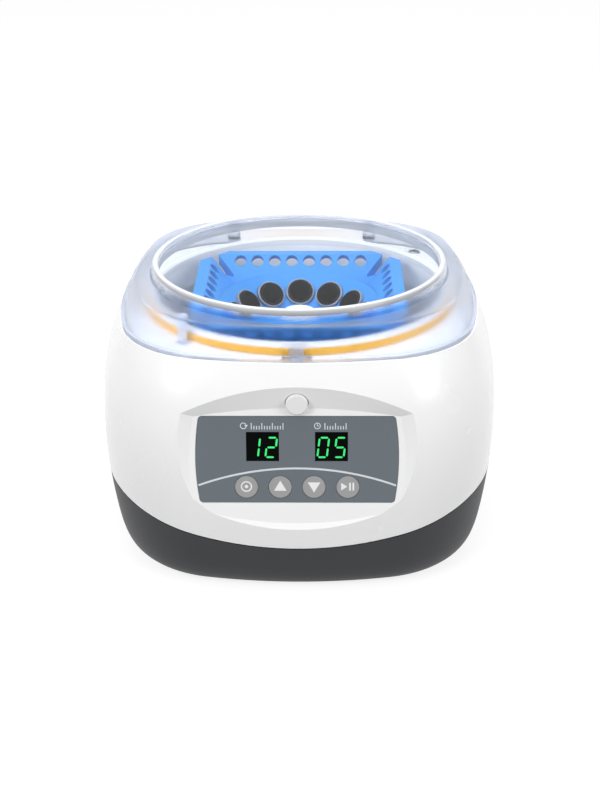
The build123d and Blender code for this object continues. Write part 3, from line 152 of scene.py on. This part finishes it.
def moulded(name, colour, roughness, grain, depth, spread):
    """Plastic or rubber whose tone and gloss drift slowly, with a grain depth in millimetres."""
    finish = Finish(name)
    drift = finish.noise(22.0, 3.0)
    gloss_drift = 0.08
    return finish.set({
        "Base Color": finish.mix(drift, paint(colour, 1.0 - spread), paint(colour)),
        "Roughness": drift * gloss_drift + (roughness - gloss_drift / 2),
        "Normal": finish.bump(finish.noise(grain, 2.0), depth * millimetre),
    })


def dress(finish, *nodes):
    """Gives CAD nodes a finish in place of the plain one that they were packed with."""
    for node in nodes:
        mesh = frame["nodes"][node].data
        mesh.materials.clear()
        mesh.materials.append(finish.material)


white_plastic = moulded(
    "white_plastic", (0.93, 0.93, 0.935), roughness=0.26, grain=900.0, depth=0.02, spread=0.012,
)
white_plastic.set({"Coat Weight": 0.25, "Coat Roughness": 0.12})
dress(white_plastic, "top_shell")


# Charcoal base.
# A separate moulding in dark plastic with a fine matt spark-eroded grain. It carries the
# motor, the boards and the feet, and its edge follows the smile-shaped seam.
charcoal_plastic = moulded(
    "charcoal_plastic", (0.018, 0.019, 0.023),
    roughness=0.5, grain=2600.0, depth=0.06, spread=0.12,
)
dress(charcoal_plastic, "base_shell")


# Rubber feet and motor dampers.
# Soft black rubber, duller and more uneven in tone than the plastic round it. The feet
# push into the base, and the dampers stand between the base and the motor's plate.
rubber = moulded(
    "rubber", (0.02, 0.02, 0.021), roughness=0.75, grain=1800.0, depth=0.05, spread=0.2,
)
dress(rubber, "rubber_feet", "motor_dampers")


# Chamber bowl.
# A smooth pale plastic pressing that hangs in the casing by its rim. The wall has a hint
# of blue, and the rolled rim on top is painted whiter, as painted light on its top.
bowl_wall_colour = (0.9, 0.92, 0.96)
bowl_rim_painted_light_colour = (0.97, 0.97, 0.97)
bowl_rim_height = 2.5 * millimetre
bowl_plastic = moulded(
    "bowl_plastic", bowl_wall_colour, roughness=0.3, grain=700.0, depth=0.02, spread=0.0,
)
# The rim's top is painted whiter than the wall, as painted light on it
on_rim_painted_light = bowl_plastic.spot()[2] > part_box("chamber_bowl")[1].z - bowl_rim_height
bowl_plastic.set({
    "Base Color": bowl_plastic.mix(on_rim_painted_light, paint(bowl_wall_colour), paint(bowl_rim_painted_light_colour)),
})
dress(bowl_plastic, "chamber_bowl")


# Chamber gasket.
# A ring of soft amber silicone under the bowl's rim, which shows through the front of the
# lid as an orange band.
amber_silicone = moulded(
    "amber_silicone", (1.0, 0.52, 0.05), roughness=0.45, grain=500.0, depth=0.03, spread=0.1,
)
dress(amber_silicone, "chamber_gasket")


# Blue rotor.
# One moulding in sky-blue plastic: a round well block in the middle and a plate with strip
# holes along each of its four sides. It reflects less than the casing.
rotor_plastic = moulded(
    "rotor_plastic", (0.05, 0.31, 0.78), roughness=0.34, grain=1200.0, depth=0.02, spread=0.08,
)
rotor_plastic.set({"Specular IOR Level": 0.3})
dress(rotor_plastic, "rotor")


# Tube sleeves and their collars.
# Twelve black inserts line the wells and look almost without light inside. Each sits in a
# grey collar that shows as a thin ring round its mouth.
sleeve_plastic = moulded(
    "sleeve_plastic", (0.004, 0.006, 0.012),
    roughness=0.38, grain=1500.0, depth=0.03, spread=0.2,
)
sleeve_plastic.set({"Specular IOR Level": 0.12})
dress(sleeve_plastic, "tube_sleeves")

collar_plastic = moulded(
    "collar_plastic", (0.3, 0.33, 0.38), roughness=0.4, grain=1500.0, depth=0.02, spread=0.05,
)
dress(collar_plastic, "sleeve_collars")


# Rotor nut.
# A white ribbed hand nut, which screws down on the adapter and holds the rotor on it.
nut_plastic = moulded(
    "nut_plastic", (0.8, 0.82, 0.84), roughness=0.35, grain=1500.0, depth=0.02, spread=0.03,
)
dress(nut_plastic, "rotor_nut")


# Metal parts.
# Steel screws, plates, pins, spring, shaft and motor shell, an aluminium rotor adapter and
# brass inlet pins, all with the fine scratches of machining and handling.
def metal(name, colour, roughness, scratch_scale):
    """Bare metal with scratches that run level, round a part's upright sides."""
    finish = Finish(name)
    stretch = {"Vector": finish.place, "Scale": (1.0, 1.0, 12.0)}
    scratches = finish.noise(scratch_scale, 4.0, finish.node("ShaderNodeMapping", inputs=stretch))
    return finish.set({
        "Base Color": finish.mix(scratches, paint(colour, 0.85), paint(colour)),
        "Metallic": 1.0,
        "Roughness": scratches * 0.15 + (roughness - 0.07),
        "Normal": finish.bump(scratches, 0.01 * millimetre),
    })


steel = metal("steel", (0.62, 0.62, 0.63), 0.3, 300.0)
dress(
    steel, "housing_screws", "motor_plate", "damper_screws", "motor_screws", "motor_housing",
    "motor_bearings", "hinge_pin", "deck_screw", "latch_bracket", "latch_spring",
    "display_screws", "bracket_screws", "drive_shaft",
)

aluminium = metal("aluminium", (0.78, 0.78, 0.8), 0.25, 400.0)
dress(aluminium, "rotor_adapter")

brass = metal("brass", (0.75, 0.6, 0.3), 0.25, 400.0)
dress(brass, "inlet_pins")


# Motor core.
# The stacked armature and the magnets round it are dark sintered and rolled iron, matt and
# blotchy, inside the motor's steel shell.
sintered_iron = moulded(
    "sintered_iron", (0.05, 0.05, 0.055), roughness=0.6, grain=1500.0, depth=0.05, spread=0.2,
)
dress(sintered_iron, "motor_magnets", "motor_armature")


# Boards and what is on them.
# Green solder mask over glass cloth, with black chips and switches, a transformer in
# yellow tape and capacitors in blue sleeving. The inlet and the switch frame are black too.
solder_mask = moulded(
    "solder_mask", (0.02, 0.16, 0.06), roughness=0.35, grain=1100.0, depth=0.02, spread=0.25,
)
dress(solder_mask, "display_board", "control_board", "power_board")

black_plastic = moulded(
    "black_plastic", (0.014, 0.014, 0.016),
    roughness=0.4, grain=1800.0, depth=0.04, spread=0.15,
)
dress(
    black_plastic, "control_chips", "key_switches", "lid_switch", "power_inlet", "switch_frame",
)

winding_tape = moulded(
    "winding_tape", (0.55, 0.38, 0.06), roughness=0.4, grain=900.0, depth=0.03, spread=0.1,
)
dress(winding_tape, "power_transformer")

sleeving = moulded(
    "sleeving", (0.02, 0.03, 0.12), roughness=0.3, grain=900.0, depth=0.02, spread=0.1,
)
dress(sleeving, "capacitors")


# Front panel.
# A slate-grey printed film in the scoop of the casing, with a pale arc printed across it.
# Its plane is read from the keys that press into it.
key_joint = next(joint for joint in frame["joints"] if joint["child"] == "set_key")
panel_out = -Vector(key_joint["axis"]).normalized()
panel_up = panel_out.cross(Vector((1, 0, 0)))


def panel_spot(node):
    """The centre of a node's front face, for a flat node that lies in the panel."""
    low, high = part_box(node)
    middle = (low + high) / 2
    corners = (vertex.co for vertex in frame["nodes"][node].data.vertices)
    front = max(corners, key=lambda corner: corner.dot(panel_out))
    return middle + panel_out * (front - middle).dot(panel_out)


def panel_frame(origin):
    """The matrix that lays a drawing in X and Y on the panel, with Z out of it."""
    turn = Matrix((Vector((1, 0, 0)), panel_up, panel_out)).transposed()
    return Matrix.Translation(origin) @ turn.to_4x4()


slate_film = moulded(
    "slate_film", (0.135, 0.157, 0.18), roughness=0.45, grain=2200.0, depth=0.02, spread=0.06,
)
dress(slate_film, "key_panel")

pale_ink = moulded(
    "pale_ink", (0.72, 0.75, 0.79), roughness=0.5, grain=1500.0, depth=0.01, spread=0.03,
)
ink_thickness = 0.06 * millimetre


def piece(name, bm, body, finish, place):
    """Lays a bmesh in its place and makes it a piece that rides on a body."""
    bm.transform(place)
    bmesh.ops.recalc_face_normals(bm, faces=bm.faces)
    mesh = bpy.data.meshes.new(name)
    bm.to_mesh(mesh)
    bm.free()
    mesh.materials.append(finish.material)
    made = bpy.data.objects.new(name, mesh)
    bpy.context.scene.collection.objects.link(made)
    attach(made, body)
    return made


def raise_faces(bm, faces):
    """Gives flat faces the thickness of the ink, out of the drawing."""
    raised = bmesh.ops.extrude_face_region(bm, geom=faces)["geom"]
    corners = [part for part in raised if isinstance(part, bmesh.types.BMVert)]
    bmesh.ops.translate(bm, verts=corners, vec=(0, 0, ink_thickness))


def arc_band(bm, centre, radius, width, start, end, steps):
    """A printed band along an arc, spun from its short starting edge."""
    centre = Vector((*centre, 0))
    ray = Vector((cos(radians(start)), sin(radians(start)), 0))
    ends = [bm.verts.new(centre + ray * (radius + side)) for side in (-width / 2, width / 2)]
    edge = bm.edges.new(ends)
    before = set(bm.faces)
    bmesh.ops.spin(
        bm, geom=[*ends, edge], cent=centre, axis=(0, 0, 1),
        angle=radians(end - start), steps=steps, use_merge=end - start == 360,
    )
    raise_faces(bm, [face for face in bm.faces if face not in before])


panel_face = panel_spot("key_panel")
panel_low, panel_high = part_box("key_panel")

# The arc's chord is a little narrower than the panel
arc_half_chord = (panel_high.x - panel_low.x) / 2 - 1.1 * millimetre
arc_crown = -4.2 * millimetre
arc_rise = 8.2 * millimetre
arc_width = 0.9 * millimetre
arc_radius = (arc_half_chord**2 + arc_rise**2) / (2 * arc_rise)
arc_reach = degrees(atan2(arc_half_chord, arc_radius - arc_rise))
arc_line = bmesh.new()
arc_band(
    arc_line, (0, arc_crown - arc_radius), arc_radius, arc_width,
    90 - arc_reach, 90 + arc_reach, steps=48,
)
panel_arc = piece("panel_arc", arc_line, "base", pale_ink, panel_frame(panel_face))


# Marks over the displays.
# Printed in the same pale ink: a turning arrow for the speed and a clock for the time,
# each with a level scale beside it.
mark_height = 3.4 * millimetre
mark_radius = 1.35 * millimetre
clock_line = 0.36 * millimetre
hand_half_width = 0.15 * millimetre
arrow_line = 0.4 * millimetre
scale_pitch = 1.2 * millimetre
scale_bar_half_width = 0.22 * millimetre


def polygon(bm, corners):
    """A printed patch between a few corners."""
    raise_faces(bm, [bm.faces.new([bm.verts.new((x, y, 0)) for x, y in corners])])


def bar(bm, left, bottom, right, top):
    polygon(bm, [(left, bottom), (right, bottom), (right, top), (left, top)])


def level_scale(bm, start, count):
    """A row of upright bars, every fourth one taller."""
    foot = -mark_height / 2
    for step in range(count):
        height = mark_height * (0.9 if step % 4 == 0 else 0.5)
        x = start + step * scale_pitch
        bar(bm, x - scale_bar_half_width, foot, x + scale_bar_half_width, foot + height)


def turning_arrow(bm, x):
    """Most of a ring, with its arrowhead at the right."""
    arc_band(bm, (x, 0), mark_radius, arrow_line, 30, 330, steps=24)
    polygon(bm, [
        (x + mark_radius * 0.25, mark_radius * 0.35),
        (x + mark_radius * 1.55, mark_radius * 0.35),
        (x + mark_radius * 0.95, -mark_radius * 0.6),
    ])


def clock(bm, x):
    """A ring with one hand up and one to the right."""
    half = hand_half_width
    arc_band(bm, (x, 0), mark_radius, clock_line, 0, 360, steps=32)
    bar(bm, x - half, -half, x + half, mark_radius * 0.7)
    bar(bm, x + half, -half, x + mark_radius * 0.65, half)


display_half_height = 7.0 * millimetre
mark_gap = 1.2 * millimetre
mark_rise = display_half_height + mark_gap + mark_height / 2


def over_display(spot):
    """The matrix that lays a mark on the panel over a display."""
    film_step = panel_out * (panel_face - spot).dot(panel_out)
    return panel_frame(spot + panel_up * mark_rise + film_step)


speed_spot = panel_spot("speed_display")
speed_mark = bmesh.new()
turning_arrow(speed_mark, -8.6 * millimetre)
level_scale(speed_mark, -5.0 * millimetre, 13)
piece("speed_mark", speed_mark, "base", pale_ink, over_display(speed_spot))

time_spot = panel_spot("time_display")
time_mark = bmesh.new()
clock(time_mark, -6.4 * millimetre)
level_scale(time_mark, -3.0 * millimetre, 9)
piece("time_mark", time_mark, "base", pale_ink, over_display(time_spot))


# Displays.
# Two-digit seven-segment modules behind black filters. The lit segments are green and
# lean a little to the right; the unlit ones are hidden by the filter.
display_filter = moulded(
    "display_filter", (0.002, 0.0025, 0.002),
    roughness=0.3, grain=900.0, depth=0.005, spread=0.2,
)
display_filter.set({"Specular IOR Level": 0.03})
dress(display_filter, "speed_display", "time_display")

segment_light = Finish("segment_light")
segment_glow = segment_light.mix(
    segment_light.noise(900.0, 1.0), (0.0, 0.5, 0.1, 1.0), (0.06, 0.95, 0.26, 1.0),
)
segment_light.set({
    "Base Color": (0.01, 0.3, 0.06, 1.0),
    "Roughness": 0.4,
    "Emission Color": segment_glow,
    "Emission Strength": 0.85,
})

digit_half_width = 2.15 * millimetre
digit_half_height = 4.65 * millimetre
digit_pitch = 7.7 * millimetre
digit_shift = 0.1 * millimetre
digit_drop = 0.45 * millimetre
digit_lean = 0.12
segment_width = 0.85 * millimetre
segment_gap = 0.35 * millimetre
segment_ends = {
    "top": ((-1, 1), (1, 1)),
    "upper_left": ((-1, 0), (-1, 1)),
    "upper_right": ((1, 0), (1, 1)),
    "middle": ((-1, 0), (1, 0)),
    "lower_left": ((-1, -1), (-1, 0)),
    "lower_right": ((1, -1), (1, 0)),
    "bottom": ((-1, -1), (1, -1)),
}


def all_but(*dark):
    return [name for name in segment_ends if name not in dark]


digits = {
    "0": all_but("middle"),
    "1": ["upper_right", "lower_right"],
    "2": all_but("upper_left", "lower_right"),
    "5": all_but("upper_right", "lower_left"),
}


def segment(bm, start, end):
    """A lit bar with pointed ends between two corners of a digit."""
    along = (end - start).normalized()
    side = Vector((-along.y, along.x)) * segment_width / 2
    shoulder = along * segment_width / 2
    first = start + along * segment_gap
    last = end - along * segment_gap
    polygon(bm, [
        first, first + shoulder - side, last - shoulder - side,
        last, last - shoulder + side, first + shoulder + side,
    ])


def number(text, name, spot):
    """Lights the segments of a two-digit number."""
    lit = bmesh.new()
    for position, digit in enumerate(text):
        centre = digit_shift + (position - 0.5) * digit_pitch
        for bar_name in digits[digit]:
            ends = []
            for x, y in segment_ends[bar_name]:
                height = y * digit_half_height
                across = centre + x * digit_half_width + height * digit_lean
                ends.append(Vector((across, height - digit_drop)))
            segment(lit, *ends)
    piece(name, lit, "base", segment_light, panel_frame(spot))


number("12", "speed_digits", speed_spot)
number("05", "time_digits", time_spot)


# Keys.
# Four round film keys with a domed rim, each printed in white with a plain sign: a ring to
# set, two arrows to raise and lower, and a start and stop sign.
key_film = moulded(
    "key_film", (0.36, 0.36, 0.365), roughness=0.42, grain=2000.0, depth=0.02, spread=0.06,
)
white_ink = moulded(
    "white_ink", (0.88, 0.88, 0.88), roughness=0.5, grain=1500.0, depth=0.01, spread=0.02,
)
signs = {key: bmesh.new() for key in ("set_key", "up_key", "down_key", "start_stop_key")}
dress(key_film, *signs)

ring_radius = 2.3 * millimetre
ring_line = 0.6 * millimetre
dot_radius = 0.8 * millimetre
arc_band(signs["set_key"], (0, 0), ring_radius, ring_line, 0, 360, steps=40)
dot = bmesh.ops.create_circle(signs["set_key"], cap_ends=True, segments=24, radius=dot_radius)
raise_faces(signs["set_key"], dot["verts"][0].link_faces[:])

arrow_half = 2.9 * millimetre
arrow_foot = 0.7 * arrow_half
for key, way in (("up_key", 1), ("down_key", -1)):
    polygon(signs[key], [
        (-arrow_half * way, -arrow_foot * way),
        (arrow_half * way, -arrow_foot * way),
        (0, arrow_half * way),
    ])

start_stop_half_height = 1.9 * millimetre
start_left = -3.1 * millimetre
start_tip = -0.3 * millimetre
stop_bar_width = 0.8 * millimetre
polygon(signs["start_stop_key"], [
    (start_left, -start_stop_half_height), (start_tip, 0), (start_left, start_stop_half_height),
])
for left in (0.6 * millimetre, 2.1 * millimetre):
    bar(
        signs["start_stop_key"], left, -start_stop_half_height,
        left + stop_bar_width, start_stop_half_height,
    )

for key, sign in signs.items():
    piece(f"{key}_sign", sign, key, white_ink, panel_frame(panel_spot(key)))


# Release button and latch slider.
# White glossy mouldings: the round button in the scoop pushes the slider behind it, whose
# ledge holds the lid's hook.
latch_plastic = moulded(
    "latch_plastic", (0.86, 0.86, 0.87), roughness=0.24, grain=1000.0, depth=0.01, spread=0.01,
)
dress(latch_plastic, "release_button", "latch_slider")


# Clear lid.
# One moulding in clear plastic, 2.6 mm thick: the round window is polished and the walls are
# frosted enough to blur what lies behind them. The ridge carries a painted highlight, the walls a
# faint painted sheen and the flange's edge a painted reflection.
lid_low, lid_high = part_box("lid")
ridge_crown = lid_high.z - 0.45 * millimetre
ridge_foot = lid_high.z - 1.35 * millimetre
window_height = lid_high.z - 4.6 * millimetre
window_radius = 70.5 * millimetre
flange_top = lid_low.z + 2.5 * millimetre

clear_plastic = Finish("clear_plastic")
lid_drift = clear_plastic.noise(30.0, 3.0)
lid_x, lid_y, lid_height = clear_plastic.spot()
wall = lid_height < window_height
wall_tint = clear_plastic.mix(lid_drift, (0.71, 0.76, 0.85, 1.0), (0.75, 0.79, 0.88, 1.0))
body_tint = clear_plastic.mix(wall, (0.89, 0.925, 0.97, 1.0), wall_tint)
# The flange's edge is painted a deeper lavender, as a painted reflection along it
flange_painted_reflection_tint = (0.55, 0.59, 0.78, 1.0)
wall_frosting = 0.38

# Rays towards a lamp mostly pass, so that the chamber is lit through the lid
shadow_ray = clear_plastic.node("ShaderNodeLightPath", output="Is Shadow Ray")
passed_light = 0.94
clear_plastic.set({
    "Base Color": clear_plastic.mix(lid_height < flange_top, body_tint, flange_painted_reflection_tint),
    "Roughness": wall * wall_frosting + lid_drift * 0.02,
    "IOR": 1.14,
    "Transmission Weight": 1.0,
    "Coat Weight": 0.06,
    "Coat Roughness": 0.03,
    "Alpha": 1.0 - shadow_ray * passed_light,
})

# A pale layer paints light on the lid: a painted highlight on the ridge, and painted light that
# fades in up to the ridge's foot, which would mirror the moulding's dark inside
painted_light_layer = clear_plastic.node("ShaderNodeBsdfPrincipled", inputs={
    "Base Color": (0.94, 0.96, 1.0, 1.0), "Roughness": 0.2,
})
from_axis = clear_plastic.maths("SQRT", lid_x * lid_x + lid_y * lid_y)
foot_fade = (lid_height - window_height) * (0.5 / (ridge_foot - window_height))
ridge_painted_skirt = clear_plastic.maths("MAXIMUM", foot_fade, 0.0) * (from_axis > window_radius)
# A painted highlight along the ridge, brightest on its crown
ridge_painted_highlight = (lid_height > ridge_foot) * 0.4 + (lid_height > ridge_crown) * 0.45
# A faint painted sheen on the walls, stronger where they are seen at a slant
wall_painted_sheen = clear_plastic.node("ShaderNodeLayerWeight", inputs={"Blend": 0.3}, output="Facing")
painted_light_share = ridge_painted_highlight + wall * wall_painted_sheen * 0.1
clear_plastic.layer(painted_light_layer, clear_plastic.maths("MAXIMUM", painted_light_share, ridge_painted_skirt))
dress(clear_plastic, "lid")


# Interlock peg and lid hook.
# Both are small clear mouldings under the lid's front edge. The peg works the switch in
# the deck, and the hook is milky, and clearer where the flange covers it.
clear_peg = moulded(
    "clear_peg", (0.78, 0.84, 0.94), roughness=0.12, grain=900.0, depth=0.01, spread=0.05,
)
clear_peg.set({"Alpha": 0.6})
dress(clear_peg, "interlock_pin")

milky_hook = moulded(
    "milky_hook", (0.84, 0.87, 0.95), roughness=0.2, grain=900.0, depth=0.01, spread=0.04,
)
over_flange = milky_hook.spot()[2] > lid_low.z
milky_hook.set({"Alpha": 0.5 - over_flange * 0.3})
dress(milky_hook, "lid_hook")


# Rocker switch.
# A glossy black moulding without marks, which rocks on its pin in the frame at the back.
rocker_plastic = moulded(
    "rocker_plastic", (0.01, 0.01, 0.011), roughness=0.18, grain=1200.0, depth=0.01, spread=0.1,
)
dress(rocker_plastic, "power_rocker")


# Studio floor and room.
# Pale paper that runs out of view on all sides and keeps the object's shadow, under an
# even white room. Both show as plain white behind the object, also in a gloss.
floor_finish = Finish("floor_paper")
camera_ray, glossy_ray, transmission_ray = [
    floor_finish.node("ShaderNodeLightPath", output=f"Is {kind} Ray")
    for kind in ("Camera", "Glossy", "Transmission")
]
seen = floor_finish.maths(
    "MAXIMUM", floor_finish.maths("MAXIMUM", camera_ray, glossy_ray), transmission_ray,
)
floor_finish.set({
    "Base Color": (0.3, 0.3, 0.3, 1.0),
    "Roughness": 0.9,
    "Specular IOR Level": 0.0,
    "Emission Color": (1.0, 1.0, 1.0, 1.0),
    "Emission Strength": seen * 0.8,
})
floor_grid = bmesh.new()
bmesh.ops.create_grid(floor_grid, x_segments=1, y_segments=1, size=6.0)
floor_mesh = bpy.data.meshes.new("floor")
floor_grid.to_mesh(floor_mesh)
floor_grid.free()
floor_mesh.materials.append(floor_finish.material)
floor = bpy.data.objects.new("floor", floor_mesh)
bpy.context.scene.collection.objects.link(floor)

room = bpy.data.worlds.new("room")
room.use_nodes = True
room_nodes = Nodes(room.node_tree)
room_light = room_nodes.tree.nodes["Background"]
room_level = 0.55
in_view = room_nodes.node("ShaderNodeLightPath", output="Is Camera Ray")
room_nodes.feed(room_light.inputs["Color"], (1.0, 1.0, 1.0, 1.0))
room_nodes.feed(room_light.inputs["Strength"], in_view * (1.0 - room_level) + room_level)
bpy.context.scene.world = room


# Lamps and camera.
# A large soft lamp overhead and one at each side in front, and a camera that looks down on
# the object from the photograph's angle and distance.
def softbox(name, place, size, power):
    """A rectangular lamp that faces the middle of the object."""
    data = bpy.data.lights.new(name, "AREA")
    data.shape = "RECTANGLE"
    data.size, data.size_y = size
    data.energy = power
    lamp = bpy.data.objects.new(name, data)
    lamp.location = place
    lamp_aim = Vector((0, 0, 0.07)) - Vector(place)
    lamp.rotation_euler = lamp_aim.to_track_quat("-Z", "Y").to_euler()
    bpy.context.scene.collection.objects.link(lamp)


softbox("overhead", place=(0.0, 0.1, 1.1), size=(0.9, 0.7), power=5.2)
softbox("front_left", place=(-0.75, -0.8, 0.75), size=(0.5, 0.7), power=5.9)
softbox("front_right", place=(0.85, -0.7, 0.6), size=(0.5, 0.7), power=4.4)

camera_data = bpy.data.cameras.new("camera")
camera_data.sensor_width = 36.0
camera_data.lens = 64.62
camera = bpy.data.objects.new("camera", camera_data)
camera_aim = Vector((0, 0, 0.058))
camera_distance = 0.74
camera_elevation = radians(25.0)
camera_turn = radians(1.0)
camera_roll = Matrix.Rotation(radians(-0.4), 3, "Z")
camera.location = camera_aim + camera_distance * Vector((
    cos(camera_elevation) * sin(camera_turn),
    -cos(camera_elevation) * cos(camera_turn),
    sin(camera_elevation),
))
camera_look = (camera_aim - camera.location).to_track_quat("-Z", "Y").to_matrix()
camera.rotation_euler = (camera_look @ camera_roll).to_euler()
bpy.context.scene.collection.objects.link(camera)
bpy.context.scene.camera = camera
bpy.context.scene.view_settings.view_transform = "Standard"
